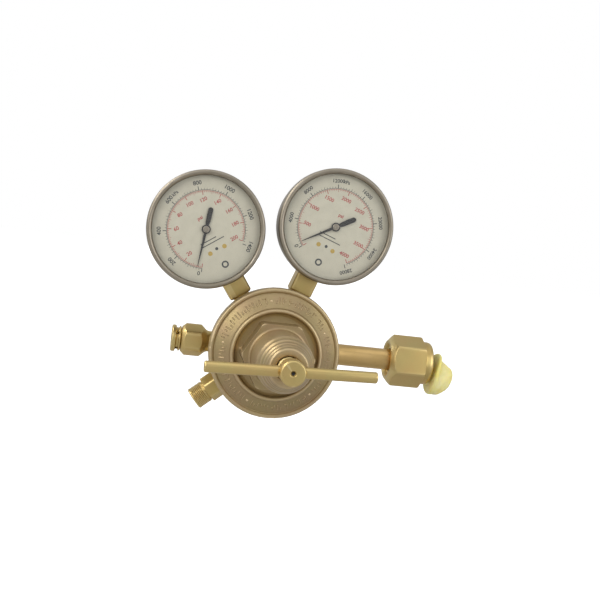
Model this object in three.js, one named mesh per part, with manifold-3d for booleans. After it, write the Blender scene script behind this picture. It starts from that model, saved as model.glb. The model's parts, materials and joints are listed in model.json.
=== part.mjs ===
// Two-gauge gas pressure regulator: brass body and bonnet with a T-handle adjusting screw,
// diaphragm valve inside, two dial gauges on top, relief valve, hose outlet and inlet nipple.
//
// Millimetres, +Z up, -Y is the front (T-handle and dials), +X is the inlet direction.
// The origin is the centre of the inlet nipple's nose, the face that seals on the cylinder valve.
//
// Most pieces are drawn in a "drawing frame": x right, y up, z toward the front, with its
// origin where the bonnet axis crosses the plane of the inlet, relief and outlet ports.

import * as THREE from 'three';
import { mergeVertices } from 'three/addons/utils/BufferGeometryUtils.js';
import Module from 'manifold-3d';

const wasm = await Module();
wasm.setup();

// ---- driving dimensions ------------------------------------------------------------------
const GAP = 0.3;                    // clearance between pieces that touch
const INLET_REACH = 95;             // bonnet axis to nipple nose
const PORT_SHELF = 36;              // bonnet axis to the outer face of a port boss

const RIM_RADIUS = 38.2;            // bonnet flange, 3 in across
const RIM_BACK = 20.5;
const RIM_FRONT = 29;
const RING_RADIUS = 25.3;           // raised ring inside the ornamented band
const RING_FRONT = 37;
const BONNET_FLATS = 37;            // wrench hexagon
const HEX_FRONT = 46.5;
const NECK_RADIUS = 15.7;
const NECK_FRONT = 75;
const NECK_END_RADIUS = 10.9;
const BONNET_END = 87;
const SPRING_ROOM_RADIUS = 13.5;

const SCREW_RADIUS = 6.1;
const HUB_RADIUS = 6.8;
const HUB_BACK = 93.2;
const HUB_FRONT = 104;
const HANDLE_PLANE = 97.6;
const HANDLE_RADIUS = 3;
const HANDLE_LENGTH = 89.6;
const HANDLE_TURN = THREE.MathUtils.degToRad(1.7);
const BALL_RADIUS = 2.4;            // thrust ball between the screw and the spring button

const DIAPHRAGM_BACK = 23.8;
const DIAPHRAGM_FRONT = 24.6;
const DIAPHRAGM_RADIUS = 33.8;
const CHAMBER_FLOOR = 15.5;         // outlet-pressure chamber behind the diaphragm
const CHAMBER_RADIUS = 28.5;
const STEM_RADIUS = 1.1;            // valve stem

const GAUGE_REACH = 81.75;          // bonnet axis to dial centre
const GAUGE_PLANE = 9;              // stems of the gauges, in front of the other ports
const BEZEL_RADIUS = 34;            // 2 1/2 in gauge
const BEZEL_FRONT = 28.6;
const WINDOW_RADIUS = 31;
const CASE_RADIUS = 32.6;
const SHANK_WIDTH = 13.6;           // square wrench part of a gauge socket
const SHANK_START = 37.2;           // bonnet axis to the near end of the square
const POINTER_REST = THREE.MathUtils.degToRad(228);  // direction of the pointer with no pressure
const NEEDLE_LENGTH = 20;
const PINION_RADIUS = 1.5;
const SECTOR_RADIUS = 14.4;
const SECTOR_PIVOT = -(SECTOR_RADIUS + PINION_RADIUS + 0.4);
const LINK_ARM = 8;
const GEAR_BACK = 13.2;
const GEAR_FRONT = 15;

const INLET_ANGLE = 0;
const RELIEF_ANGLE = Math.PI;
const OUTLET_ANGLE = THREE.MathUtils.degToRad(220.5);
const LOW_GAUGE_ANGLE = THREE.MathUtils.degToRad(125.3);
const HIGH_GAUGE_ANGLE = THREE.MathUtils.degToRad(70.4);

const NUT_FLATS = 28;
const NUT_BACK = 74;
const NUT_HEX_END = 95.6;
const NUT_FRONT = 101;
const NUT_BORE = 11.2;
const NUT_TURN = THREE.MathUtils.degToRad(8);  // one flat faces the front and a little up
const NIPPLE_RADIUS = 6.5;
const PLUG_PLACE = [104.2, -6, 0];  // back of the dust plug's flange
const PLUG_DROOP = THREE.MathUtils.degToRad(6);
const PLUG_RADIUS = 13.2;

const OUTLET_FLATS = 14.3;
const OUTLET_END = 55;
const SPIGOT_RADIUS = 7;
const RELIEF_FLATS = 17.6;
const RELIEF_END = 59.2;

// ---- materials ---------------------------------------------------------------------------
function metal(color, roughness) {
  return new THREE.MeshStandardMaterial({ color, roughness, metalness: 1 });
}

function plastic(color, roughness) {
  return new THREE.MeshStandardMaterial({ color, roughness, metalness: 0 });
}

const forgedBrass = metal(0x94845a, 0.45);
const turnedBrass = metal(0xaa9b5a, 0.3);
const steel = metal(0x9a9a96, 0.35);
const bezelSteel = metal(0x8c8476, 0.35);
const blackPaint = plastic(0x15140f, 0.5);
const dialWhite = plastic(0xc4c4b4, 0.6);
const rubber = plastic(0x24221f, 0.8);
const nylon = plastic(0xd8d4c4, 0.5);
const sinteredBronze = metal(0x9a7040, 0.8);
const yellowVinyl = plastic(0xe6dc74, 0.45);
const lensClear = new THREE.MeshStandardMaterial({
  color: 0xffffff, roughness: 0.05, metalness: 0, transparent: true, opacity: 0.2,
});

// ---- solids ------------------------------------------------------------------------------

// Turns a three.js geometry into a closed solid with its faces pointing out.
function solid(geometry) {
  let bare = geometry.index ? geometry.toNonIndexed() : geometry.clone();
  bare.deleteAttribute('normal');
  bare.deleteAttribute('uv');
  bare = mergeVertices(bare, 1e-4);
  const place = bare.attributes.position.array;
  const corners = [];
  let volume = 0;
  for (let i = 0; i < bare.index.count; i += 3) {
    const [a, b, c] = [0, 1, 2].map((k) => bare.index.getX(i + k));
    if (a === b || b === c || c === a) continue;
    corners.push(a, b, c);
    const [p, q, r] = [a, b, c].map((k) => new THREE.Vector3().fromArray(place, 3 * k));
    volume += p.dot(q.cross(r));
  }
  if (volume < 0) corners.reverse();
  return new wasm.Manifold(new wasm.Mesh({
    numProp: 3,
    vertProperties: new Float32Array(place),
    triVerts: new Uint32Array(corners),
  }));
}

// A solid of revolution about +Z. The [radius, z] points start and end on the axis, or the
// outline is closed on itself for a piece with a bore through it.
function turned(outline, segments = 24) {
  const onAxis = outline[0][0] === 0 && outline.at(-1)[0] === 0;
  const points = outline.map(([radius, z]) => new THREE.Vector2(radius, z));
  if (!onAxis) points.push(points[0].clone());
  return new THREE.LatheGeometry(points, segments).rotateX(Math.PI / 2);
}

function cylinder(radius, back, front, segments = 18) {
  return turned([[0, back], [radius, back], [radius, front], [0, front]], segments);
}

// Hexagonal bar along +Z with two flats facing +X and -X, or +Y and -Y after a quarter turn.
function hexBar(acrossFlats, back, front) {
  const corner = acrossFlats / Math.sqrt(3);
  return new THREE.CylinderGeometry(corner, corner, front - back, 6)
    .rotateX(Math.PI / 2)
    .rotateZ(Math.PI / 2)
    .translate(0, 0, (front + back) / 2);
}

// Hexagonal bar with its corners turned off by a cone at one or both ends.
function chamferedHex(acrossFlats, back, front, backRadius, frontRadius, slope = 0.6) {
  const corner = acrossFlats / Math.sqrt(3) + 0.01;
  const cone = turned([
    [0, back],
    [backRadius, back],
    [corner, back + (corner - backRadius) * slope],
    [corner, front - (corner - frontRadius) * slope],
    [frontRadius, front],
    [0, front],
  ], 24);
  return solid(hexBar(acrossFlats, back, front)).intersect(solid(cone));
}

// Flat plate cut from an outline in the x-y plane, between two z levels.
function plate(shape, back, front, curveSegments = 8) {
  return new THREE.ExtrudeGeometry(shape, { depth: front - back, bevelEnabled: false, curveSegments })
    .translate(0, 0, back);
}

function box(width, height, back, front) {
  return new THREE.BoxGeometry(width, height, front - back).translate(0, 0, (back + front) / 2);
}

// Round rod between two points.
function rod(from, to, radius, segments = 8) {
  const start = new THREE.Vector3(...from);
  const span = new THREE.Vector3(...to).sub(start);
  const turn = new THREE.Quaternion().setFromUnitVectors(
    new THREE.Vector3(0, 0, 1),
    span.clone().normalize(),
  );
  return cylinder(radius, 0, span.length(), segments)
    .applyQuaternion(turn)
    .translate(start.x, start.y, start.z);
}

// Coil spring about +Z, from the back face to the front face.
function coil(meanRadius, wireRadius, back, front, turns) {
  const rise = front - back - 2 * wireRadius;
  class Helix extends THREE.Curve {
    getPoint(t, target = new THREE.Vector3()) {
      const angle = 2 * Math.PI * turns * t;
      return target.set(
        meanRadius * Math.cos(angle),
        meanRadius * Math.sin(angle),
        back + wireRadius + rise * t,
      );
    }
  }
  const section = new THREE.Shape(new THREE.EllipseCurve(0, 0, wireRadius, wireRadius).getPoints(4));
  return new THREE.ExtrudeGeometry(section, {
    extrudePath: new Helix(),
    steps: Math.round(turns * 9),
    bevelEnabled: false,
  });
}

// Stands a piece drawn along +Z on a port: its +Z points out along the given direction.
function onPort(geometry, angle, plane = 0) {
  return geometry.rotateY(Math.PI / 2).rotateZ(angle).translate(0, 0, plane);
}

// ---- scene graph -------------------------------------------------------------------------
const regulator = new THREE.Group();
const drawing = new THREE.Group();
drawing.rotation.x = Math.PI / 2;
drawing.position.x = -INLET_REACH;
regulator.add(drawing);

function add(parent, name, shape, material) {
  const made = shape.isBufferGeometry ? solid(shape) : shape;
  const { vertProperties, numProp, triVerts } = made.getMesh();
  const geometry = new THREE.BufferGeometry();
  geometry.setAttribute('position', new THREE.InterleavedBufferAttribute(
    new THREE.InterleavedBuffer(vertProperties, numProp), 3, 0,
  ));
  geometry.setIndex(new THREE.BufferAttribute(triVerts, 1));
  geometry.computeVertexNormals();
  const mesh = new THREE.Mesh(geometry, material);
  mesh.name = name;
  parent.add(mesh);
}

// A group whose +Z points out of a port and whose +X points to the back.
function portGroup(angle, plane = 0) {
  const group = new THREE.Group();
  group.rotation.order = 'ZYX';
  group.rotation.y = Math.PI / 2;
  group.rotation.z = angle;
  group.position.z = plane;
  drawing.add(group);
  return group;
}

// ---- body --------------------------------------------------------------------------------
function makeBody() {
  let body = solid(turned([
    [0, -22], [17, -22], [19, -20], [27, -17], [30.5, -12], [30.5, 9.4],
    [36.6, 13], [36.6, RIM_BACK - GAP], [34.2, RIM_BACK - GAP],
    [34.2, DIAPHRAGM_BACK - GAP], [0, DIAPHRAGM_BACK - GAP],
  ], 30));

  const gaugePort = { plane: GAUGE_PLANE, boss: 9, bore: 5.2, end: 21, drill: 1.3 };
  const ports = [
    { angle: INLET_ANGLE, plane: 0, boss: 10.5, bore: 7.1, end: 17, way: [8, 0], drill: 2.2 },
    { angle: RELIEF_ANGLE, plane: 0, boss: 8, bore: 4.2, end: 21, way: [17, 17], drill: 1.3 },
    { angle: OUTLET_ANGLE, plane: 0, boss: 9, bore: 5.2, end: 21, way: [17, 17], drill: 1.6 },
    { angle: LOW_GAUGE_ANGLE, ...gaugePort, way: [18, 17.5] },
    { angle: HIGH_GAUGE_ANGLE, ...gaugePort, way: [7.5, 0] },
  ];
  for (const { angle, plane, boss } of ports) {
    body = body.add(solid(onPort(cylinder(boss, 20, PORT_SHELF - 2.5, 14), angle, plane)));
  }

  const chamber = turned([
    [0, 11], [8.2, 11], [8.2, CHAMBER_FLOOR], [24, CHAMBER_FLOOR], [CHAMBER_RADIUS, CHAMBER_FLOOR + 2],
    [CHAMBER_RADIUS, 30], [0, 30],
  ], 24);
  const valveBore = turned([
    [0, -30], [11.5, -30], [11.5, -10], [8.5, -10], [8.5, 4], [6.2, 5], [6.2, 12], [0, 12],
  ], 18);
  body = body.subtract(solid(chamber)).subtract(solid(valveBore));

  for (const { angle, plane, bore, end, way, drill } of ports) {
    body = body.subtract(solid(onPort(cylinder(bore, end, PORT_SHELF + 1, 12), angle, plane)));
    const direction = [Math.cos(angle), Math.sin(angle)];
    const from = [(end + 1) * direction[0], (end + 1) * direction[1], plane];
    const to = [way[0] * direction[0], way[0] * direction[1], way[1]];
    body = body.subtract(solid(rod(from, to, drill)));
  }
  return body;
}
add(drawing, 'body', makeBody(), forgedBrass);

add(drawing, 'body_plug', chamferedHex(22.2, -30.5, -23.4, 11, 14)
  .add(solid(cylinder(11.1, -24, -11, 20)))
  .subtract(solid(cylinder(4.8, -17.2, -10, 14))), turnedBrass);
add(drawing, 'plug_gasket', turned([
  [11.8, -23.1], [15.2, -23.1], [15.2, -22.3], [11.8, -22.3],
], 20), rubber);

// ---- bonnet, adjusting screw and spring --------------------------------------------------
function makeBonnet() {
  const shell = turned([
    [34.6, RIM_BACK], [RIM_RADIUS, RIM_BACK], [RIM_RADIUS, RIM_FRONT], [36, RIM_FRONT],
    [35.3, RIM_FRONT - 0.8], [27.2, 34.4], [26.4, RING_FRONT - 0.4], [RING_RADIUS, RING_FRONT],
    [24.2, 36.4], [23.4, 33.6], [NECK_RADIUS, 33.6], [NECK_RADIUS, NECK_FRONT],
    [14, 76], [13.1, 80], [11.9, 82], [NECK_END_RADIUS, 85], [NECK_END_RADIUS, BONNET_END],
    [SCREW_RADIUS + GAP, BONNET_END], [SCREW_RADIUS + GAP, 73], [SPRING_ROOM_RADIUS, 73],
    [SPRING_ROOM_RADIUS, 31.5], [29.4, 27.4], [29.4, 26], [34.6, 26],
  ], 30);
  const hexagon = chamferedHex(BONNET_FLATS, 33.2, HEX_FRONT, 22, 19.6, 0.4);
  return solid(shell).add(hexagon.rotate([0, 0, 30]).subtract(solid(cylinder(15, 30, 60, 20))));
}
add(drawing, 'bonnet', makeBonnet(), forgedBrass);

const handleAxis = new THREE.Group();
handleAxis.rotation.z = HANDLE_TURN;
drawing.add(handleAxis);

function alongX(geometry) {
  return geometry.rotateY(Math.PI / 2);
}

const screw = solid(turned([
  [0, 68.7], [SCREW_RADIUS - 1.2, 68.7], [SCREW_RADIUS, 69.9], [SCREW_RADIUS, HUB_BACK],
  [HUB_RADIUS - 0.5, HUB_BACK], [HUB_RADIUS, HUB_BACK + 0.5], [HUB_RADIUS, HUB_FRONT - 0.7],
  [HUB_RADIUS - 0.7, HUB_FRONT], [1.5, HUB_FRONT], [0, HUB_FRONT - 1.8],
], 24));
const crossHole = solid(alongX(cylinder(HANDLE_RADIUS + GAP, -12, 12)).translate(0, 0, HANDLE_PLANE));
add(handleAxis, 'adjusting_screw', screw.subtract(crossHole), turnedBrass);

const halfBar = HANDLE_LENGTH / 2;
add(handleAxis, 'handle_bar', alongX(turned([
  [0, -halfBar], [HANDLE_RADIUS - 0.5, -halfBar], [HANDLE_RADIUS, 0.5 - halfBar],
  [HANDLE_RADIUS, halfBar - 0.5], [HANDLE_RADIUS - 0.5, halfBar], [0, halfBar],
], 16)).translate(0, 0, HANDLE_PLANE), turnedBrass);

add(drawing, 'thrust_ball', new THREE.SphereGeometry(BALL_RADIUS, 12, 8).translate(0, 0, 66), steel);
add(drawing, 'spring_button', turned([
  [0, 58.6], [8.4, 58.6], [8.8, 59.2], [8.8, 61], [12.9, 61], [12.9, 63.6],
  [6, 65], [BALL_RADIUS + GAP, 65], [BALL_RADIUS + GAP, 64.4], [1.4, 63.3], [0, 63.3],
], 20), steel);
add(drawing, 'adjusting_spring', coil(10.6, 1.4, 27.9, 60.2, 7), steel);

// ---- diaphragm stack ---------------------------------------------------------------------
add(drawing, 'diaphragm', cylinder(DIAPHRAGM_RADIUS, DIAPHRAGM_BACK, DIAPHRAGM_FRONT, 24), rubber);
add(drawing, 'slip_ring', turned([
  [29.8, DIAPHRAGM_FRONT + GAP], [33.8, DIAPHRAGM_FRONT + GAP], [33.8, 25.7], [29.8, 25.7],
], 24), turnedBrass);
add(drawing, 'diaphragm_plate', turned([
  [0, DIAPHRAGM_FRONT + GAP], [23.4, DIAPHRAGM_FRONT + GAP], [24, 25.5], [24, 27.3],
  [8.7, 27.3], [8.7, 28.6], [8.1, 29.2], [0, 29.2],
], 20), turnedBrass);
add(drawing, 'diaphragm_stud', turned([
  [0, 20.8], [3, 20.8], [3, 22], [9, 22], [9, DIAPHRAGM_BACK - GAP], [0, DIAPHRAGM_BACK - GAP],
], 16), turnedBrass);

// ---- valve -------------------------------------------------------------------------------
add(drawing, 'valve_nozzle', turned([
  [STEM_RADIUS + 0.6, 5.6], [5.9, 5.6], [5.9, 11.3], [7.4, 11.3], [7.4, 14.2], [6.8, 14.8],
  [STEM_RADIUS + 0.6, 14.8],
], 16), turnedBrass);
add(drawing, 'valve_stem', turned([
  [0, -7], [2, -7], [2, -5.2], [4.2, -5.2], [4.2, 2.2], [STEM_RADIUS, 2.2], [STEM_RADIUS, 20.5], [0, 20.5],
], 14), steel);
add(drawing, 'valve_seat', turned([
  [STEM_RADIUS + GAP, 2.5], [3.9, 2.5], [3.9, 4.6], [3.3, 5.2], [STEM_RADIUS + GAP, 5.2],
], 14), nylon);
add(drawing, 'closing_spring', coil(3.2, 0.5, -16.7, -5.7, 6), steel);

// ---- inlet -------------------------------------------------------------------------------
const inlet = portGroup(INLET_ANGLE);
add(inlet, 'inlet_nipple', turned([
  [4.3, 17.3], [6.2, 17.3], [6.8, 18], [6.8, 33.8], [8.6, 33.8], [8.6, 36.2], [NIPPLE_RADIUS, 36.8],
  [NIPPLE_RADIUS, 78.8], [8.4, 79.2], [8.4, 84], [7.4, 84.6], [7.4, 88], [6.9, 91], [5.9, 93.5],
  [4.6, INLET_REACH], [2.5, INLET_REACH], [2.5, 30], [4.3, 30],
], 16), turnedBrass);
add(inlet, 'inlet_filter', turned([
  [0, 18.2], [3.6, 18.2], [4, 18.8], [4, 29], [3.2, 29.6], [0, 29.6],
], 14), sinteredBronze);

function makeNut() {
  const backHex = chamferedHex(NUT_FLATS, NUT_BACK, NUT_HEX_END, 12, 15.4, 0.9);
  const collar = turned([
    [0, 90], [13.3, 90], [13.3, NUT_FRONT - 1.6], [12.1, NUT_FRONT], [0, NUT_FRONT],
  ], 24);
  const bore = turned([
    [0, 60], [10.2, 60], [10.2, NUT_BACK], [9.2, NUT_BACK + 1.6], [NIPPLE_RADIUS + 0.6, NUT_BACK + 1.6],
    [NIPPLE_RADIUS + 0.6, 78.2], [NUT_BORE - 1, 78.2], [NUT_BORE - 1, 82], [NUT_BORE, 83],
    [NUT_BORE, NUT_FRONT - 0.8], [NUT_BORE + 0.8, NUT_FRONT], [NUT_BORE + 0.8, 110], [0, 110],
  ], 18);
  return backHex.add(solid(collar)).subtract(solid(bore));
}
const nutGroup = new THREE.Group();
nutGroup.rotation.z = -NUT_TURN;
inlet.add(nutGroup);
add(nutGroup, 'inlet_nut', makeNut(), turnedBrass);

// The soft plug hangs a little low in the nut and droops.
const dustPlug = new THREE.Group();
dustPlug.position.set(...PLUG_PLACE);
dustPlug.rotation.z = -PLUG_DROOP;
drawing.add(dustPlug);
add(dustPlug, 'dust_plug', alongX(turned([
  [0, -3.6], [3.4, -3.6], [4.4, -3], [5.4, -1.2], [PLUG_RADIUS - 0.6, -1.2], [PLUG_RADIUS, -0.6],
  [PLUG_RADIUS, 0.4], [PLUG_RADIUS - 0.8, 1.2], [10.4, 2], [8.4, 5.2], [7.4, 8.8], [6.2, 11.4],
  [4, 13], [0, 13.5],
], 22)), yellowVinyl);

// ---- outlet ------------------------------------------------------------------------------
const outlet = portGroup(OUTLET_ANGLE);
add(outlet, 'outlet_fitting', chamferedHex(OUTLET_FLATS, 37.6, 45.4, 7.8, 7.8)
  .add(solid(cylinder(4.9, 22, 34, 16)))
  .add(solid(turned([
    [0, 33.8], [7, 33.8], [7, 38.6], [6.2, 44], [6.2, 46.4], [SPIGOT_RADIUS, 47.2],
    [SPIGOT_RADIUS, OUTLET_END - 0.9], [SPIGOT_RADIUS - 0.9, OUTLET_END], [0, OUTLET_END],
  ], 20)))
  .subtract(solid(turned([
    [0, 10], [2.6, 10], [2.6, OUTLET_END - 4], [4.8, OUTLET_END], [4.8, 60], [0, 60],
  ], 16))), turnedBrass);

// ---- relief valve ------------------------------------------------------------------------
const relief = portGroup(RELIEF_ANGLE);
add(relief, 'relief_valve_body', chamferedHex(RELIEF_FLATS, 38.9, 53.5, 6.8, 7.6, 0.8)
  .add(solid(turned([
    [0, 22], [3.9, 22], [3.9, 33.7], [6.2, 33.8], [6.2, 37.2], [7.2, 39.8], [0, 42],
  ], 20)))
  .subtract(solid(turned([
    [0, 10], [1.8, 10], [1.8, 36], [5.4, 38], [5.4, 60], [0, 60],
  ], 16))), turnedBrass);
const GROOVE_MIDDLE = RELIEF_END - 3.5;
const ventHole = solid(rod([-9, 0, GROOVE_MIDDLE], [9, 0, GROOVE_MIDDLE], 0.9));
add(relief, 'relief_valve_cap', solid(turned([
  [3.6, 47.4], [4.9, 47.4], [4.9, 53.8], [7, 53.8], [7.6, 54.4], [7.6, GROOVE_MIDDLE - 0.9],
  [6.6, GROOVE_MIDDLE - 0.7], [6.6, GROOVE_MIDDLE + 0.7], [8, GROOVE_MIDDLE + 1.1],
  [8, RELIEF_END - 0.4], [7.6, RELIEF_END], [1.6, RELIEF_END], [1.6, 51], [3.6, 51],
], 16)).subtract(ventHole.rotate([0, 0, 35])), turnedBrass);
add(relief, 'relief_seat', turned([
  [0, 36.6], [1.9, 36.6], [3.9, 38.4], [3.9, 38.9], [0, 38.9],
], 14), rubber);
add(relief, 'relief_poppet', turned([
  [0, 39.2], [4.6, 39.2], [4.6, 40.4], [1.3, 41], [1.3, 46], [0, 46],
], 14), turnedBrass);
add(relief, 'relief_spring', coil(3, 0.4, 40.8, 50.6, 5), steel);

// ---- gauges ------------------------------------------------------------------------------

// Local frame of a gauge: dial centre at the origin, stem toward -Y, +Z out of the dial.
function toothedEdge(shape, centre, radius, from, to, teeth, height) {
  for (let i = 0; i < teeth; i += 1) {
    for (const [part, reach] of [[0.25, radius], [0.5, radius + height], [0.75, radius]]) {
      const angle = from + (to - from) * (i + part) / teeth;
      shape.lineTo(centre[0] + reach * Math.cos(angle), centre[1] + reach * Math.sin(angle));
    }
  }
}

function roundHole(x, y, radius) {
  return new THREE.Path().absarc(x, y, radius, 0, 2 * Math.PI, true);
}

function makeSector() {
  const [low, high] = [THREE.MathUtils.degToRad(56), THREE.MathUtils.degToRad(96)];
  const shape = new THREE.Shape();
  shape.moveTo(LINK_ARM, SECTOR_PIVOT - 2.4);
  shape.lineTo(LINK_ARM + 1.4, SECTOR_PIVOT);
  shape.lineTo(2.6, SECTOR_PIVOT + 2);
  toothedEdge(shape, [0, SECTOR_PIVOT], SECTOR_RADIUS - 0.1, low, high, 11, 0.25);
  shape.lineTo(-2.4, SECTOR_PIVOT + 1.5);
  shape.lineTo(-2.4, SECTOR_PIVOT - 1.5);
  shape.lineTo(0, SECTOR_PIVOT - 2.6);
  return solid(plate(shape, GEAR_BACK, GEAR_FRONT - 0.6))
    .add(solid(rod([0, SECTOR_PIVOT, 12], [0, SECTOR_PIVOT, 17.6], 0.8)));
}

function makePinion() {
  const shape = new THREE.Shape();
  shape.moveTo(PINION_RADIUS - 0.1, 0);
  toothedEdge(shape, [0, 0], PINION_RADIUS - 0.1, 0, 2 * Math.PI, 10, 0.25);
  return solid(plate(shape, GEAR_BACK, GEAR_FRONT))
    .add(solid(cylinder(0.7, 12, 24.6, 12)));
}

function makeMovementPlate(back, front, pillars) {
  const shape = new THREE.Shape();
  shape.moveTo(-6, -21);
  shape.lineTo(6, -21);
  shape.lineTo(9.5, -12);
  shape.lineTo(5, 5);
  shape.lineTo(-5, 5);
  shape.lineTo(-9.5, -12);
  shape.closePath();
  shape.holes.push(roundHole(0, 0, 1.1), roundHole(0, SECTOR_PIVOT, 1.2));
  let made = solid(plate(shape, back, front));
  for (const [x, y, length] of pillars) {
    made = made.add(solid(rod([x, y, front - 0.2], [x, y, front + length], 1)));
  }
  return made;
}

function makePointer() {
  const shape = new THREE.Shape();
  shape.moveTo(NEEDLE_LENGTH, 0.15);
  shape.lineTo(1.5, 0.9);
  shape.lineTo(-2.5, 1);
  shape.lineTo(-5.5, 1.9);
  shape.lineTo(-12.2, 1.9);
  shape.absarc(-12.2, 0, 1.9, Math.PI / 2, 1.5 * Math.PI);
  shape.lineTo(-5.5, -1.9);
  shape.lineTo(-2.5, -1);
  shape.lineTo(1.5, -0.9);
  shape.lineTo(NEEDLE_LENGTH, -0.15);
  return solid(plate(shape, 24.9, 25.3).rotateZ(POINTER_REST))
    .add(solid(cylinder(2.6, 24.9, 25.7, 20)));
}

function makeBourdonTube() {
  const [inner, outer, back, front] = [22.3, 24.7, 0.5, 9.5];
  const ring = turned([
    [inner, back + 0.8], [(inner + outer) / 2, back], [outer, back + 0.8],
    [outer, front - 0.8], [(inner + outer) / 2, front], [inner, front - 0.8],
  ], 24);
  const [start, end] = [THREE.MathUtils.degToRad(-112), THREE.MathUtils.degToRad(-28)];
  const missing = new THREE.Shape();
  missing.lineTo(40 * Math.cos(start), 40 * Math.sin(start));
  missing.lineTo(60 * Math.cos((start + end) / 2), 60 * Math.sin((start + end) / 2));
  missing.lineTo(40 * Math.cos(end), 40 * Math.sin(end));
  return solid(ring).subtract(solid(plate(missing, back - 1, front + 1)));
}

function makeHairspring() {
  const shape = new THREE.Shape();
  const [turns, steps, thickness] = [2, 20, 0.25];
  const spiral = (t) => [1.5 + 2.2 * t, 2 * Math.PI * turns * t];
  for (let i = 0; i <= steps; i += 1) {
    const [radius, angle] = spiral(i / steps);
    const place = [radius * Math.cos(angle), radius * Math.sin(angle)];
    if (i === 0) shape.moveTo(...place);
    else shape.lineTo(...place);
  }
  for (let i = steps; i >= 0; i -= 1) {
    const [radius, angle] = spiral(i / steps);
    shape.lineTo((radius + thickness) * Math.cos(angle), (radius + thickness) * Math.sin(angle));
  }
  return plate(shape, GEAR_FRONT + 0.5, GEAR_FRONT + 1.3);
}

function makeSocket() {
  const half = SHANK_WIDTH / 2;
  const square = new THREE.Shape();
  const corner = 1.1;
  square.moveTo(half - corner, half);
  for (const [x, y] of [[-1, 1], [-1, -1], [1, -1], [1, 1]]) {
    const flip = x * y > 0 ? [half - corner, half] : [half, half - corner];
    const next = x * y > 0 ? [half, half - corner] : [half - corner, half];
    square.lineTo(x * next[0], y * next[1]);
    square.lineTo(x * flip[0], y * flip[1]);
  }
  const shankEnd = GAUGE_REACH - SHANK_START;
  const shank = plate(square, 21.3, shankEnd);
  const stem = turned([
    [0, 42], [4.9, 42], [4.9, 58.6], [4.3, 59.4], [0, 59.4],
  ], 16);
  const bore = cylinder(1.3, 30, 70, 10);
  return solid(shank)
    .add(solid(stem))
    .subtract(solid(bore))
    .rotate([90, 0, 0])
    .translate([0, 0, GAUGE_PLANE]);
}

function addGauge(prefix, angle) {
  const gauge = new THREE.Group();
  gauge.position.set(GAUGE_REACH * Math.cos(angle), GAUGE_REACH * Math.sin(angle), 0);
  gauge.rotation.z = angle - Math.PI / 2;
  drawing.add(gauge);
  const piece = (name, shape, material) => add(gauge, `${prefix}_${name}`, shape, material);

  const opening = box(SHANK_WIDTH + 0.7, SHANK_WIDTH + 0.7, -10, 10)
    .rotateX(Math.PI / 2)
    .translate(0, -CASE_RADIUS, GAUGE_PLANE);
  piece('gauge_case', solid(turned([
    [0, -6], [27.4, -6], [31, -2.6], [CASE_RADIUS, 4.5], [CASE_RADIUS, 21.5], [CASE_RADIUS - 1.4, 21.5],
    [CASE_RADIUS - 1.4, 5], [29.9, -1.8], [27, -4.6], [0, -4.6],
  ], 24)).subtract(solid(opening)), bezelSteel);
  piece('gauge_bezel', turned([
    [CASE_RADIUS + 0.4, 19], [BEZEL_RADIUS, 19], [BEZEL_RADIUS, 27.4], [BEZEL_RADIUS - 1.2, BEZEL_FRONT],
    [WINDOW_RADIUS, BEZEL_FRONT], [WINDOW_RADIUS, 27.6], [CASE_RADIUS + 0.4, 27.6],
  ], 30), bezelSteel);
  piece('gauge_lens', cylinder(CASE_RADIUS, 26.1, 27.3, 24), lensClear);
  piece('dial', turned([[1.6, 23.8], [32.4, 23.8], [32.4, 24.4], [1.6, 24.4]], 24), dialWhite);
  piece('pointer', makePointer(), blackPaint);
  piece('pinion', makePinion(), turnedBrass);
  piece('hairspring', makeHairspring(), turnedBrass);
  piece('sector_gear', makeSector(), turnedBrass);
  const pillars = [[-6.5, -14, 4.2], [3.8, 3.4, 4.2]];
  piece('movement_plate_rear', makeMovementPlate(11.5, 12.4, pillars), turnedBrass);
  piece('movement_plate_front', makeMovementPlate(17, 17.9, []), turnedBrass);
  piece('link', rod([LINK_ARM, SECTOR_PIVOT - 0.4, 10.2], [19.5, -13.4, 10.2], 0.4, 8), steel);
  piece('bourdon_tube', makeBourdonTube(), sinteredBronze);
  piece('gauge_socket', makeSocket(), turnedBrass);
}
addGauge('low', LOW_GAUGE_ANGLE);
addGauge('high', HIGH_GAUGE_ANGLE);

export default regulator;
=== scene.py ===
import json
import math
import random

import bmesh
import bpy
from mathutils import Matrix, Vector


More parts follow.
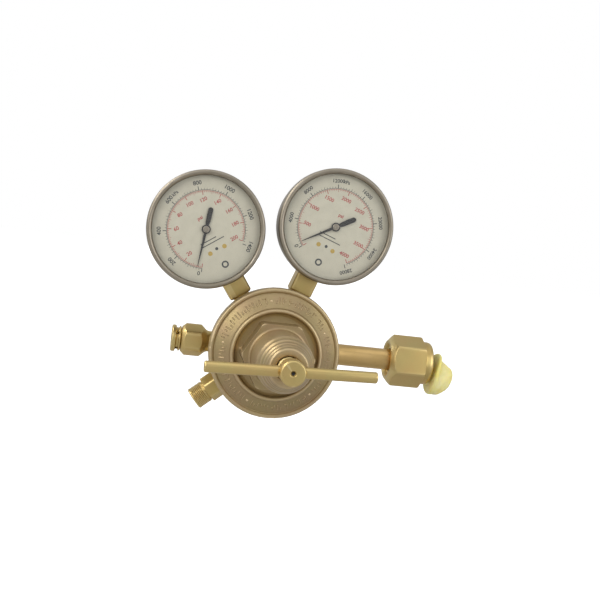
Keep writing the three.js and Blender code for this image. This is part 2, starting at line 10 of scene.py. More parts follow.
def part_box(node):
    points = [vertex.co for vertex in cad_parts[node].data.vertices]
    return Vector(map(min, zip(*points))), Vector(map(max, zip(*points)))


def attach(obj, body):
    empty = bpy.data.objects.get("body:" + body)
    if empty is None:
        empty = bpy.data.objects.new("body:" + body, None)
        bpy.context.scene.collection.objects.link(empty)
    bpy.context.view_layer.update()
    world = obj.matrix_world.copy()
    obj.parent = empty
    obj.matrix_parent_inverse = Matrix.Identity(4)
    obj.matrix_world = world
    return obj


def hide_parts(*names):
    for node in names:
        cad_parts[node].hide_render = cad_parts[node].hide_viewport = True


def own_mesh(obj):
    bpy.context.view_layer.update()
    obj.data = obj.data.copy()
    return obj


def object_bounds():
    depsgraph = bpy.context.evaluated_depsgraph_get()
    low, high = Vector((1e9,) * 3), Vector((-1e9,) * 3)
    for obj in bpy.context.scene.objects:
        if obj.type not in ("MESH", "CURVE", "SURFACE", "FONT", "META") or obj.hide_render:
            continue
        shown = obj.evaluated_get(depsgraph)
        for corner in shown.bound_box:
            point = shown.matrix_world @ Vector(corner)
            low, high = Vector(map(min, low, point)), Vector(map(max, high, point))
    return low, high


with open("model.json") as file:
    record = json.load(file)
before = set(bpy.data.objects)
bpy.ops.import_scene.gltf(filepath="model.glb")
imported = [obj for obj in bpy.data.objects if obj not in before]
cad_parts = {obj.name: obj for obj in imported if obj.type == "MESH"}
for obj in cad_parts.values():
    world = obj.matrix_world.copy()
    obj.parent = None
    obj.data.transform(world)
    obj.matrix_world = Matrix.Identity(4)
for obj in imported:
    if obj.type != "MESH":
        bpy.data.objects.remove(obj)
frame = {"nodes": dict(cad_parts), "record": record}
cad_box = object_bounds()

# Gas regulator. The frame is in metres, with -Y to the front. Pieces are drawn in
# millimetres in a drawing frame: x right, y up, z toward the front, with its origin where
# the bonnet axis crosses the plane of the inlet, relief and outlet ports.

TAU = 2 * math.pi
MM = 0.001
WELD = 1e-4  # points closer than this, in millimetres, become one


# ---- places, worked out from the frame ----

def middle(node):
    low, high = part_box(node)
    return (low + high) / 2


def depths(node):
    """Back and front of a node along the drawing frame's z, in millimetres."""
    low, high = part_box(node)
    return -high.y / MM, -low.y / MM


def half_width(node):
    """Half of a node's size from left to right, in millimetres."""
    low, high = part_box(node)
    return (high.x - low.x) / 2 / MM


AXIS_X = middle("bonnet").x
DRAWING = Matrix.Translation((AXIS_X, 0, 0)) @ Matrix.Rotation(math.pi / 2, 4, "X") @ Matrix.Scale(MM, 4)


def port_turn(angle, plane=0.0):
    """Place on a port, in the drawing: z points out from the bonnet axis at that angle, x to the back."""
    return (Matrix.Translation((0, 0, plane)) @ Matrix.Rotation(angle, 4, "Z")
            @ Matrix.Rotation(math.pi / 2, 4, "Y"))


def port(angle, plane=0.0):
    """The same place in the frame."""
    return DRAWING @ port_turn(angle, plane)


def direction_of(node):
    """Angle of a node's middle round the bonnet axis."""
    centre = middle(node)
    return math.atan2(centre.z, centre.x - AXIS_X)


def gauge_place(prefix):
    """Place of a gauge: dial centre at the origin, stem toward -y, z out of the dial."""
    centre = middle(f"{prefix}_gauge_bezel")
    x, y = (centre.x - AXIS_X) / MM, centre.z / MM
    turn = math.atan2(y, x) - math.pi / 2
    return DRAWING @ Matrix.Translation((x, y, 0)) @ Matrix.Rotation(turn, 4, "Z")


# ---- mesh making ----

def rounded(outline, radius, steps=3):
    """Rounds the inner corners of an outline of (radius, height) points with small curves."""
    points = [Vector(point) for point in outline]
    made = [tuple(points[0])]
    for before, corner, after in zip(points, points[1:], points[2:]):
        reach_in = min(radius, 0.45 * (before - corner).length)
        reach_out = min(radius, 0.45 * (after - corner).length)
        first = corner + (before - corner).normalized() * reach_in if reach_in > 0 else corner
        last = corner + (after - corner).normalized() * reach_out if reach_out > 0 else corner
        for step in range(steps + 1):
            t = step / steps
            made.append(tuple(first * (1 - t) ** 2 + corner * 2 * t * (1 - t) + last * t * t))
    made.append(tuple(points[-1]))
    return made


def spin(outline, angles=96, closed=False):
    """Turns an outline of (radius, height) points about z. It may be a function of the angle."""
    if isinstance(angles, int):
        angles = [TAU * i / angles for i in range(angles)]
    verts, faces = [], []
    for angle in angles:
        points = outline(angle) if callable(outline) else outline
        verts += [(r * math.cos(angle), r * math.sin(angle), z) for r, z in points]
    rows, columns = len(points), len(angles)
    for i in range(columns):
        a, b = i * rows, (i + 1) % columns * rows
        for j in range(rows if closed else rows - 1):
            k = (j + 1) % rows
            faces.append((a + j, b + j, b + k, a + k))
    return verts, faces


def bar_radius(angle, apothem, sides, corner):
    """Polar radius of a regular bar with its edges turned off by the corner amount."""
    half = math.pi / sides
    offset = (angle + half) % (2 * half) - half
    return min(apothem / math.cos(offset), apothem / math.cos(half) - corner)


def bar_angles(sides, turn=0.0):
    """Angles round a bar, closer together near its edges."""
    half = math.pi / sides
    spread = [-1, -0.985, -0.965, -0.94, -0.9, -0.84, -0.75, -0.62, -0.45, -0.23]
    shares = spread + [0] + [-share for share in reversed(spread[1:])]
    return [turn + (2 * side + share) * half for side in range(sides) for share in shares]


def hex_rows(angle, flats, back, front, back_radius, front_radius, slope, corner):
    """Outline of a hexagon between two levels, with both ends turned to a cone of that slope."""
    reach = bar_radius(angle, flats / 2, 6, corner)
    low = max(0.0, reach - back_radius) * slope
    high = max(0.0, reach - front_radius) * slope
    return [
        (min(back_radius, reach), back), (reach, back + low),
        (reach, front - high), (min(front_radius, reach), front),
    ]


def thread_rows(angle, radius, depth, pitch, start, end, per_turn=8):
    """Outline of a screw thread that fades out over its first and last turn."""
    count = int(round((end - start) / pitch * per_turn))
    rows = []
    for i in range(count + 1):
        z = start + (end - start) * i / count
        wave = abs(2 * ((z / pitch - angle / TAU) % 1) - 1)
        groove = min(1.0, max(0.0, 1.25 * wave - 0.12))
        fade = min(1.0, (z - start) / pitch, (end - z) / pitch)
        rows.append((radius - depth * groove * fade, z))
    return rows


def merge(*parts):
    """Joins several (verts, faces) into one."""
    verts, faces = [], []
    for more_verts, more_faces in parts:
        shift = len(verts)
        verts += more_verts
        faces += [tuple(shift + i for i in face) for face in more_faces]
    return verts, faces


def moved(part, matrix):
    """A copy of (verts, faces) at another place."""
    verts, faces = part
    return [tuple(matrix @ Vector(v)) for v in verts], faces


def slab(outline, back, front):
    """Flat plate with the given outline of (x, y) points."""
    count = len(outline)
    verts = [(x, y, back) for x, y in outline] + [(x, y, front) for x, y in outline]
    faces = [tuple(reversed(range(count))), tuple(range(count, 2 * count))]
    faces += [(i, (i + 1) % count, count + (i + 1) % count, count + i) for i in range(count)]
    return verts, faces


def tube(points, radius, sides=12):
    """Round wire along a list of points."""
    points = [Vector(point) for point in points]
    verts, faces = [], []
    side = None
    for i, point in enumerate(points):
        along = (points[min(i + 1, len(points) - 1)] - points[max(i - 1, 0)]).normalized()
        side = (side or along.orthogonal()) - along * along.dot(side or along.orthogonal())
        side.normalize()
        other = along.cross(side)
        for k in range(sides):
            turn = TAU * k / sides
            verts.append(tuple(point + (side * math.cos(turn) + other * math.sin(turn)) * radius))
    for i in range(len(points) - 1):
        for k in range(sides):
            a, b = i * sides + k, i * sides + (k + 1) % sides
            faces.append((a, b, b + sides, a + sides))
    faces.append(tuple(reversed(range(sides))))
    faces.append(tuple(range(len(verts) - sides, len(verts))))
    return verts, faces


def coil_points(radius, back, front, turns, per_turn=28):
    """Middle line of a compression spring with its end turns closed up."""
    count = int(turns * per_turn)
    points = []
    for i in range(count + 1):
        t = i / count
        ease = min(1.0, max(0.0, (t - 0.08) / 0.84))
        angle = TAU * turns * t
        points.append((radius * math.cos(angle), radius * math.sin(angle), back + (front - back) * ease))
    return points


def mesh_from(name, part):
    """Mesh of (verts, faces), welded, with its faces turned outward."""
    mesh = bpy.data.meshes.new(name)
    build = bmesh.new()
    rows = [build.verts.new(v) for v in part[0]]
    for face in part[1]:
        build.faces.new([rows[i] for i in face])
    bmesh.ops.remove_doubles(build, verts=build.verts, dist=WELD)
    loose = [v for v in build.verts if not v.link_faces]
    bmesh.ops.delete(build, geom=loose, context="VERTS")
    bmesh.ops.recalc_face_normals(build, faces=build.faces)
    build.to_mesh(mesh)
    build.free()
    return mesh


def piece(name, part, place, material, body, nodes=(), crease=32):
    """Makes one object from (verts, faces) in millimetres at its place, with its material, the body that
    it rides on, the CAD nodes that it replaces and the angle from which its edges are sharp."""
    return finish_piece(name, mesh_from(name, part), place, material, body, nodes, crease)


def finish_piece(name, mesh, place, material, body, nodes, crease):
    """Does the same for a finished mesh. own_place keeps the points in millimetres for the material."""
    own = mesh.attributes.new("own_place", "FLOAT_VECTOR", "POINT")
    own.data.foreach_set("vector", [c for v in mesh.vertices for c in v.co])
    mesh.transform(place)
    mesh.shade_smooth()
    mesh.set_sharp_from_angle(angle=math.radians(crease))
    mesh.materials.append(material)
    made = bpy.data.objects.new(name, mesh)
    bpy.context.scene.collection.objects.link(made)
    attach(made, body)
    if nodes:
        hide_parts(*nodes)
    return made


def scratch(name, part):
    """Temporary object for boolean work, in millimetres."""
    made = bpy.data.objects.new(name, mesh_from(name, part))
    bpy.context.scene.collection.objects.link(made)
    return made


def apply_modifiers(target):
    bpy.context.view_layer.update()
    graph = bpy.context.evaluated_depsgraph_get()
    mesh = bpy.data.meshes.new_from_object(target.evaluated_get(graph))
    target.modifiers.clear()
    old = target.data
    target.data = mesh
    bpy.data.meshes.remove(old)


def cut_away(target, part, solver):
    """Cuts (verts, faces) out of a temporary object."""
    cutter = scratch("cutter", part)
    cut = target.modifiers.new("cut", "BOOLEAN")
    cut.operation = "DIFFERENCE"
    cut.solver = solver
    cut.object = cutter
    apply_modifiers(target)
    bpy.data.objects.remove(cutter)


def mesh_of(target):
    """Takes the mesh out of a temporary object and removes the object."""
    mesh = target.data
    mesh.materials.clear()
    bpy.data.objects.remove(target)
    return mesh


# ---- materials ----

def tone(red, green, blue):
    """Linear colour from the usual 0 to 255 values."""
    channels = [c / 255 for c in (red, green, blue)]
    return tuple(c / 12.92 if c <= 0.04045 else ((c + 0.055) / 1.055) ** 2.4 for c in channels) + (1.0,)


class Nodes:
    """Small helper to build a material's nodes. Their place is in millimetres: own_place of the piece, or
    with own=False the place in the frame, for CAD pieces, springs and the floor."""

    def __init__(self, name, own=True):
        self.material = bpy.data.materials.new(name)
        self.material.use_nodes = True
        self.tree = self.material.node_tree
        self.shader = self.tree.nodes["Principled BSDF"]
        if own:
            source = self.add("ShaderNodeAttribute", attribute_name="own_place")
            self.place = source.outputs["Vector"]
        else:
            source = self.add("ShaderNodeTexCoord")
            self.place = self.scaled(source.outputs["Object"], (1 / MM, 1 / MM, 1 / MM))

    def add(self, kind, **settings):
        node = self.tree.nodes.new(kind)
        for key, value in settings.items():
            setattr(node, key, value)
        return node

    def link(self, output, node, socket):
        self.tree.links.new(output, node.inputs[socket])

    def scaled(self, vector, scale):
        node = self.add("ShaderNodeVectorMath", operation="MULTIPLY")
        self.link(vector, node, 0)
        node.inputs[1].default_value = scale
        return node.outputs[0]

    def noise(self, scale, detail=2.0, stretch=(1, 1, 1), roughness=0.5):
        node = self.add("ShaderNodeTexNoise")
        self.link(self.scaled(self.place, stretch), node, "Vector")
        node.inputs["Scale"].default_value = scale
        node.inputs["Detail"].default_value = detail
        node.inputs["Roughness"].default_value = roughness
        return node.outputs["Fac"]

    def ramp(self, value, low, high, first=(0, 0, 0, 1), last=(1, 1, 1, 1)):
        node = self.add("ShaderNodeValToRGB")
        self.link(value, node, 0)
        node.color_ramp.elements[0].position = low
        node.color_ramp.elements[0].color = first
        node.color_ramp.elements[1].position = high
        node.color_ramp.elements[1].color = last
        return node.outputs["Color"]

    def mix(self, share, first, last):
        node = self.add("ShaderNodeMix", data_type="RGBA")
        for value, socket in ((share, 0), (first, 6), (last, 7)):
            if isinstance(value, (int, float, tuple)):
                node.inputs[socket].default_value = value
            else:
                self.link(value, node, socket)
        return node.outputs[2]

    def spread(self, value, low, high):
        """Maps 0..1 to low..high."""
        node = self.add("ShaderNodeMapRange")
        self.link(value, node, 0)
        node.inputs["To Min"].default_value = low
        node.inputs["To Max"].default_value = high
        return node.outputs[0]

    def bump(self, height, depth, strength=1.0, before=None):
        node = self.add("ShaderNodeBump")
        node.inputs["Strength"].default_value = strength
        node.inputs["Distance"].default_value = depth * MM
        self.link(height, node, "Height")
        if before is not None:
            self.link(before, node, "Normal")
        return node.outputs["Normal"]

    def edges(self, low, high):
        """0 in hollows, 1 on outer edges."""
        geometry = self.add("ShaderNodeNewGeometry")
        return self.ramp(geometry.outputs["Pointiness"], low, high)

    def set(self, **values):
        names = {
            "color": "Base Color", "metallic": "Metallic", "roughness": "Roughness", "normal": "Normal",
        }
        for key, value in values.items():
            socket = names[key]
            if isinstance(value, (int, float, tuple)):
                self.shader.inputs[socket].default_value = value
            else:
                self.link(value, self.shader, socket)
        return self.material


def brass(name, main, patch, edge, rough, cast=0.0, rings=0.0, own=True, stain=0.1, metal=1.0):
    """Brass with tarnish patches and edges painted lighter, partly edge wear and partly a painted highlight;
    cast gives a pebbly skin, rings lathe marks.
    """
    nodes = Nodes(name, own)
    blotch = nodes.ramp(nodes.noise(0.07, 4.0), 0.38, 0.66)
    color = nodes.mix(blotch, main, patch)
    speck = nodes.ramp(nodes.noise(1.1, 3.0), 0.6, 0.78)
    color = nodes.mix(nodes.spread(speck, 0, stain), color, tone(96, 78, 48))
    # Outer edges get the lighter edge tone by pointiness: partly edge wear, partly a painted highlight.
    color = nodes.mix(nodes.spread(nodes.edges(0.5, 0.55), 0, 0.75), color, edge)
    fine = nodes.noise(2.2, 3.0)
    worn = nodes.noise(0.35, 3.0)
    roughness = nodes.spread(worn, rough - 0.09, rough + 0.11)
    normal = None
    if cast:
        normal = nodes.bump(fine, 0.05, cast)
    if rings:
        marks = nodes.noise(1.6, 2.0, (0.02, 0.02, 4.0), 0.7)
        normal = nodes.bump(marks, 0.02, rings, normal)
    settings = {"color": color, "metallic": metal, "roughness": roughness}
    if normal is not None:
        settings["normal"] = normal
    return nodes.set(**settings)


def plain_metal(name, main, patch, rough, rings=0.0, own=True):
    """Steel with faint patches and brighter edges; rings gives lathe marks."""
    nodes = Nodes(name, own)
    color = nodes.mix(nodes.ramp(nodes.noise(0.12, 3.0), 0.35, 0.7), main, patch)
    color = nodes.mix(nodes.spread(nodes.edges(0.5, 0.57), 0, 0.4), color, tone(205, 200, 188))
    marks = nodes.noise(1.8, 2.0, (0.03, 0.03, 4.0) if rings else (1, 1, 1), 0.7)
    roughness = nodes.spread(nodes.noise(0.5, 3.0), rough - 0.07, rough + 0.08)
    normal = nodes.bump(marks, 0.015, rings or 0.3)
    return nodes.set(color=color, metallic=1.0, roughness=roughness, normal=normal)


def coating(name, main, patch, rough, grain=0.9, depth=0.02, own=True):
    """Paint, printed card, rubber or plastic: a slightly mottled colour with a fine grain."""
    nodes = Nodes(name, own)
    color = nodes.mix(nodes.ramp(nodes.noise(0.2, 3.0), 0.35, 0.68), main, patch)
    roughness = nodes.spread(nodes.noise(0.8, 2.0), rough - 0.06, rough + 0.06)
    normal = nodes.bump(nodes.noise(grain, 4.0), depth, 0.5)
    return nodes.set(color=color, metallic=0.0, roughness=roughness, normal=normal)


def vinyl(name):
    """Soft pale yellow plastic that lets some light in."""
    nodes = Nodes(name)
    patches = nodes.ramp(nodes.noise(0.09, 3.0), 0.35, 0.65)
    color = nodes.mix(patches, tone(252, 240, 172), tone(250, 230, 128))
    made = nodes.set(
        color=color, roughness=nodes.spread(nodes.noise(0.6, 2.0), 0.34, 0.5),
        normal=nodes.bump(nodes.noise(0.45, 2.0), 0.12, 0.5),
    )
    nodes.shader.inputs["Subsurface Weight"].default_value = 0.35
    nodes.shader.inputs["Subsurface Radius"].default_value = (1.0, 0.8, 0.3)
    nodes.shader.inputs["Subsurface Scale"].default_value = 0.006
    return made


def clear_window(name):
    """Almost clear sheet with a faint gloss."""
    nodes = Nodes(name)
    roughness = nodes.spread(nodes.noise(0.3, 3.0), 0.03, 0.09)
    made = nodes.set(color=(0.96, 0.97, 0.94, 1), roughness=roughness, metallic=0.0)
    nodes.shader.inputs["Alpha"].default_value = 0.03
    return made


# In every brass material the third tone is the edge colour: partly edge wear, partly a painted highlight.
FORGED = brass("forged_brass", tone(176, 157, 114), tone(176, 152, 116), tone(240, 216, 174), 0.42,
               cast=0.3, stain=0.2, metal=0.8)
TURNED = brass("turned_brass", tone(206, 182, 116), tone(210, 178, 114), tone(236, 216, 158), 0.36,
               rings=0.3)
TUBE = brass("drawn_brass", tone(218, 184, 124), tone(212, 178, 116), tone(236, 204, 148), 0.32, rings=0.12)
GAUGE_STEEL = plain_metal("gauge_steel", tone(164, 154, 138), tone(154, 145, 128), 0.4, rings=0.3)
DIAL = coating("dial_enamel", tone(208, 203, 182), tone(202, 197, 176), 0.55, 0.6, 0.01)
BLACK = coating("black_paint", tone(24, 21, 19), tone(32, 28, 25), 0.5)
SEAL = coating("dark_seal", tone(84, 78, 68), tone(96, 88, 76), 0.6)
RED = coating("red_print", tone(184, 84, 80), tone(172, 76, 74), 0.6)
AMBER = coating("amber_print", tone(190, 160, 76), tone(182, 150, 70), 0.6)
GREY_INK = coating("grey_print", tone(62, 66, 66), tone(72, 74, 74), 0.6)
RUBBER = coating("black_rubber", tone(42, 40, 38), tone(52, 49, 46), 0.75)
VINYL = vinyl("yellow_vinyl")
WINDOW = clear_window("clear_window")

# Materials of the CAD pieces that stay, by material slot, and of the springs.
INNER = {
    "turned_brass": brass("inner_brass", tone(176, 158, 84), tone(190, 164, 92), tone(222, 204, 140), 0.33,
                          cast=0.2, own=False),
    "steel": plain_metal("inner_steel", tone(170, 170, 166), tone(150, 150, 148), 0.3, own=False),
    "rubber": coating("inner_rubber", tone(42, 40, 38), tone(52, 49, 46), 0.75, own=False),
    "nylon": coating("inner_nylon", tone(216, 212, 196), tone(206, 200, 182), 0.45, own=False),
    "tube_bronze": brass("inner_bronze", tone(178, 134, 92), tone(166, 122, 80), tone(214, 176, 130), 0.3,
                         own=False),
    "sintered_bronze": brass("inner_sintered", tone(158, 116, 76), tone(140, 98, 62), tone(190, 150, 104),
                             0.6, cast=1.0, own=False),
}


# ---- bonnet, screw and handle ----

BONNET_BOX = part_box("bonnet")
RIM_RADIUS = (BONNET_BOX[1].z - BONNET_BOX[0].z) / 2 / MM
RIM_BACK, BONNET_END = depths("bonnet")
RIM_FRONT = RIM_BACK + 8.5
BAND_START, BAND_END = (35.2, RIM_FRONT - 0.9), (27.0, RIM_FRONT + 5.6)
HEX_FRONT = RIM_FRONT + 17.5
NECK_FRONT = BONNET_END - 12
BONNET_FLATS = 37.0
HEX_TURN = math.pi / 6
SCREW_BORE = 6.5
SPRING_ROOM = 13.4


def make_bonnet():
    """Flange, sloping band, raised ring, wrench hexagon and stepped neck, hollow for the spring."""
    rim = [
        (34.6, RIM_BACK), (RIM_RADIUS - 0.5, RIM_BACK), (RIM_RADIUS, RIM_BACK + 0.6),
        (RIM_RADIUS, RIM_FRONT - 0.9), (RIM_RADIUS - 0.9, RIM_FRONT), (36.2, RIM_FRONT),
        BAND_START, BAND_END, (26.5, RIM_FRONT + 7.4), (25.6, RIM_FRONT + 8), (24.6, RIM_FRONT + 7.7),
        (23.9, RIM_FRONT + 5.2), (22.6, RIM_FRONT + 4.4),
    ]
    neck = [
        (17.0, HEX_FRONT), (16.2, HEX_FRONT + 0.6), (15.8, HEX_FRONT + 2.4), (15.7, NECK_FRONT - 1.4),
        (14.8, NECK_FRONT + 0.2), (14.4, NECK_FRONT + 1.2), (14.2, NECK_FRONT + 2.8),
        (13.2, NECK_FRONT + 4.0), (12.9, NECK_FRONT + 5.8), (12.1, NECK_FRONT + 6.9),
        (11.8, NECK_FRONT + 8.4), (11.0, NECK_FRONT + 9.6), (10.9, BONNET_END - 0.9), (10.2, BONNET_END),
        (SCREW_BORE + 0.6, BONNET_END), (SCREW_BORE, BONNET_END - 0.6), (SCREW_BORE, BONNET_END - 14),
    ]
    spring_room = [
        (SPRING_ROOM, BONNET_END - 14), (SPRING_ROOM, RIM_BACK + 11), (29.4, RIM_BACK + 7),
        (29.4, RIM_BACK + 5.6), (34.6, RIM_BACK + 5.6),
    ]

    def outline(angle):
        hexagon = hex_rows(
            angle - HEX_TURN, BONNET_FLATS, back=RIM_FRONT + 4.2, front=HEX_FRONT,
            back_radius=21.9, front_radius=20.5, slope=0.5, corner=0.35,
        )
        return rounded(rim + hexagon[1:] + neck + spring_room, 0.5)

    shell = spin(outline, bar_angles(6, HEX_TURN), closed=True)
    piece("bonnet_shell", shell, DRAWING, FORGED, "root", ["bonnet"])


MARKS = 50
MARK_LIFT = 0.4


def raised_mark(half_width, half_height):
    """Small raised bar with cut corners and drafted sides; z = 0 is the surface that it stands on."""
    verts, faces = [], []
    for inset, level in ((-0.25, -0.4), (0.0, 0.0), (0.15, MARK_LIFT * 0.7), (0.39, MARK_LIFT)):
        w, h = half_width - inset, half_height - inset
        c = min(w, h) * 0.5
        verts += [(w, h - c, level), (w - c, h, level), (c - w, h, level), (-w, h - c, level),
                  (-w, c - h, level), (c - w, -h, level), (w - c, -h, level), (w, c - h, level)]
    for ring in range(3):
        for k in range(8):
            a, b = 8 * ring + k, 8 * ring + (k + 1) % 8
            faces.append((a, b, b + 8, a + 8))
    faces += [tuple(reversed(range(8))), tuple(range(24, 32))]
    return verts, faces


def make_band_ornament():
    """Raised bars and studs round the sloping band of the bonnet, in a seeded random order."""
    inner, outer = Vector(BAND_END), Vector(BAND_START)
    rise = math.atan2(inner.y - outer.y, outer.x - inner.x)
    middle_radius, middle_height = (inner.x + outer.x) / 2, (inner.y + outer.y) / 2
    chance = random.Random(11)
    parts = []
    for i in range(MARKS):
        turn = TAU * i / MARKS
        tilt = (Matrix.Rotation(turn, 4, "Z") @ Matrix.Translation((middle_radius, 0, middle_height))
                @ Matrix.Rotation(rise, 4, "Y") @ Matrix.Rotation(-math.pi / 2, 4, "Z"))
        side = chance.choice((-0.95, 0.95))
        bars = [(side, 0, 0.36, 2.2)]
        if i % 10 == 4:
            bars = [(0, 0, 0.7, 0.7)]
        elif chance.random() < 0.6:
            bars.append((-side, chance.choice((-0.9, 0.9)), 0.36, 1.2))
        else:
            bars.append((-side * 0.2, chance.choice((-1.8, 0, 1.8)), 0.8, 0.34))
        for x, y, half_width, half_height in bars:
            mark = raised_mark(half_width, half_height)
            parts.append(moved(mark, tilt @ Matrix.Translation((x, y, 0))))
    piece("bonnet_ornament", merge(*parts), DRAWING, FORGED, "root", (), 40)


SCREW_TIP, HUB_FRONT = depths("adjusting_screw")
HUB_BACK = HUB_FRONT - 10.8
SCREW_PITCH = 1.27
HANDLE_PLANE = sum(depths("handle_bar")) / 2
HANDLE_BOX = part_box("handle_bar")
HANDLE_RADIUS = (HANDLE_BOX[1].y - HANDLE_BOX[0].y) / 2 / MM
HANDLE_TURN = math.radians(1.7)
HANDLE_HALF = half_width("handle_bar") / math.cos(HANDLE_TURN) - 0.1


def make_screw():
    """Threaded adjusting screw with its round hub, the centre mark in the hub, and the bar through it."""
    tip = [(0, SCREW_TIP), (4.4, SCREW_TIP), (5.3, SCREW_TIP + 1)]
    hub = [
        (5.7, HUB_BACK - 0.5), (6.3, HUB_BACK), (6.8, HUB_BACK + 0.5), (6.8, HUB_FRONT - 0.8),
        (6.1, HUB_FRONT), (1.7, HUB_FRONT), (1.4, HUB_FRONT - 0.3), (0, HUB_FRONT - 2.0),
    ]

    def outline(angle):
        thread = thread_rows(angle, radius=6.1, depth=0.75, pitch=SCREW_PITCH,
                             start=SCREW_TIP + 1.2, end=HUB_BACK - 0.8)
        return tip + thread + rounded(hub, 0.3)

    turned = DRAWING @ Matrix.Rotation(HANDLE_TURN, 4, "Z")
    piece("adjusting_screw_and_hub", spin(outline, 72), turned, TURNED, "handle", ["adjusting_screw"])

    dimple = [(0, HUB_FRONT - 1.9), (0.9, HUB_FRONT - 0.75), (0.8, HUB_FRONT - 0.65), (0, HUB_FRONT - 1.3)]
    piece("hub_centre_mark", spin(dimple, 32), turned, BLACK, "handle", ())

    bar = rounded([
        (0, -HANDLE_HALF), (HANDLE_RADIUS - 0.5, -HANDLE_HALF), (HANDLE_RADIUS, 0.6 - HANDLE_HALF),
        (HANDLE_RADIUS, -7.4), (HANDLE_RADIUS - 0.12, -6.9),
        (HANDLE_RADIUS - 0.12, 6.9), (HANDLE_RADIUS, 7.4),
        (HANDLE_RADIUS, HANDLE_HALF - 0.6), (HANDLE_RADIUS - 0.5, HANDLE_HALF), (0, HANDLE_HALF),
    ], 0.35)
    lying = turned @ Matrix.Translation((0, 0, HANDLE_PLANE)) @ Matrix.Rotation(math.pi / 2, 4, "Y")
    piece("t_handle_bar", spin(bar, 64), lying, TURNED, "handle", ["handle_bar"])


# ---- body and rear plug ----

BODY_BACK, BODY_FRONT = depths("body")
GAUGE_PLANE = sum(depths("low_gauge_socket")) / 2
# Angle, plane, boss radius and bore radius of the inlet, relief, outlet and gauge ports.
PORTS = [
    (0.0, 0.0, 10.5, 7.1),
    (math.pi, 0.0, 8.0, 4.2),
    (direction_of("outlet_fitting"), 0.0, 9.0, 5.2),
    (direction_of("low_gauge_bezel"), GAUGE_PLANE, 9.0, 5.2),
    (direction_of("high_gauge_bezel"), GAUGE_PLANE, 9.0, 5.2),
]
BOSS_END = 33.5


def boss(radius):
    """Outline of a port's boss."""
    return rounded([
        (0, 14), (radius + 1, 14), (radius, BOSS_END - 3), (radius - 0.6, BOSS_END - 0.2), (0, BOSS_END),
    ], 0.8)


def make_body():
    """Forging with soft fillets between the barrel and the port bosses, then the machined openings."""
    barrel = rounded([
        (0, BODY_BACK), (16.5, BODY_BACK), (19, BODY_BACK + 2), (27, BODY_BACK + 5), (30.5, BODY_BACK + 10),
        (30.5, 9.4), (35.6, 12.6), (36.5, 13.8), (36.5, BODY_FRONT - 3.3), (34.2, BODY_FRONT - 3.3),
        (34.2, BODY_FRONT), (0, BODY_FRONT),
    ], 1.2)
    bosses = [moved(spin(boss(radius), 48), port_turn(angle, plane)) for angle, plane, radius, bore in PORTS]
    body = scratch("body_work", merge(spin(barrel, 120), *bosses))
    remesh = body.modifiers.new("blend", "REMESH")
    remesh.mode = "VOXEL"
    remesh.voxel_size = 0.75
    smooth = body.modifiers.new("soften", "SMOOTH")
    smooth.factor = 0.6
    smooth.iterations = 5
    apply_modifiers(body)

    chamber = spin([
        (0, 11), (8.2, 11), (8.2, 15.5), (24, 15.5), (28.5, 17.5), (28.5, BODY_FRONT + 3),
        (0, BODY_FRONT + 3),
    ], 96)
    valve_room = spin([
        (0, BODY_BACK - 3), (11.5, BODY_BACK - 3), (11.5, BODY_BACK + 12), (8.5, BODY_BACK + 12),
        (8.5, 4), (6.2, 5), (6.2, 12), (0, 12),
    ], 64)
    cut_away(body, chamber, "FAST")
    cut_away(body, valve_room, "FAST")
    for angle, plane, radius, bore in PORTS:
        hole = spin([(0, 20), (bore, 20), (bore, BOSS_END + 4), (0, BOSS_END + 4)], 40)
        cut_away(body, moved(hole, port_turn(angle, plane)), "FAST")
    finish_piece("body_forging", mesh_of(body), DRAWING, FORGED, "root", ["body"], 40)


def make_rear_plug():
    """Hexagon plug in the back of the body, and its gasket."""
    back, front = depths("body_plug")

    def outline(angle):
        hexagon = hex_rows(angle, 22.0, back, back + 6.6, back_radius=10.4, front_radius=12.2,
                           slope=0.5, corner=0.35)
        inner = [(11.0, back + 6.8), (11.0, front), (4.8, front), (4.8, back + 13.4), (0, back + 13.4)]
        return rounded([(0, back), *hexagon, *inner], 0.3)

    piece("rear_plug", spin(outline, bar_angles(6)), DRAWING, TURNED, "root", ["body_plug"])

    low, high = depths("plug_gasket")
    ring = rounded([(11.8, low), (15.2, low), (15.2, high), (11.8, high)], 0.2)
    piece("rear_gasket", spin(ring, 72, closed=True), DRAWING, BLACK, "root", ["plug_gasket"])


# ---- inlet ----

NOSE = -AXIS_X / MM
NUT_FLATS = 28.0
NUT_TURN = math.radians(-8)
NUT_PITCH = 1.81


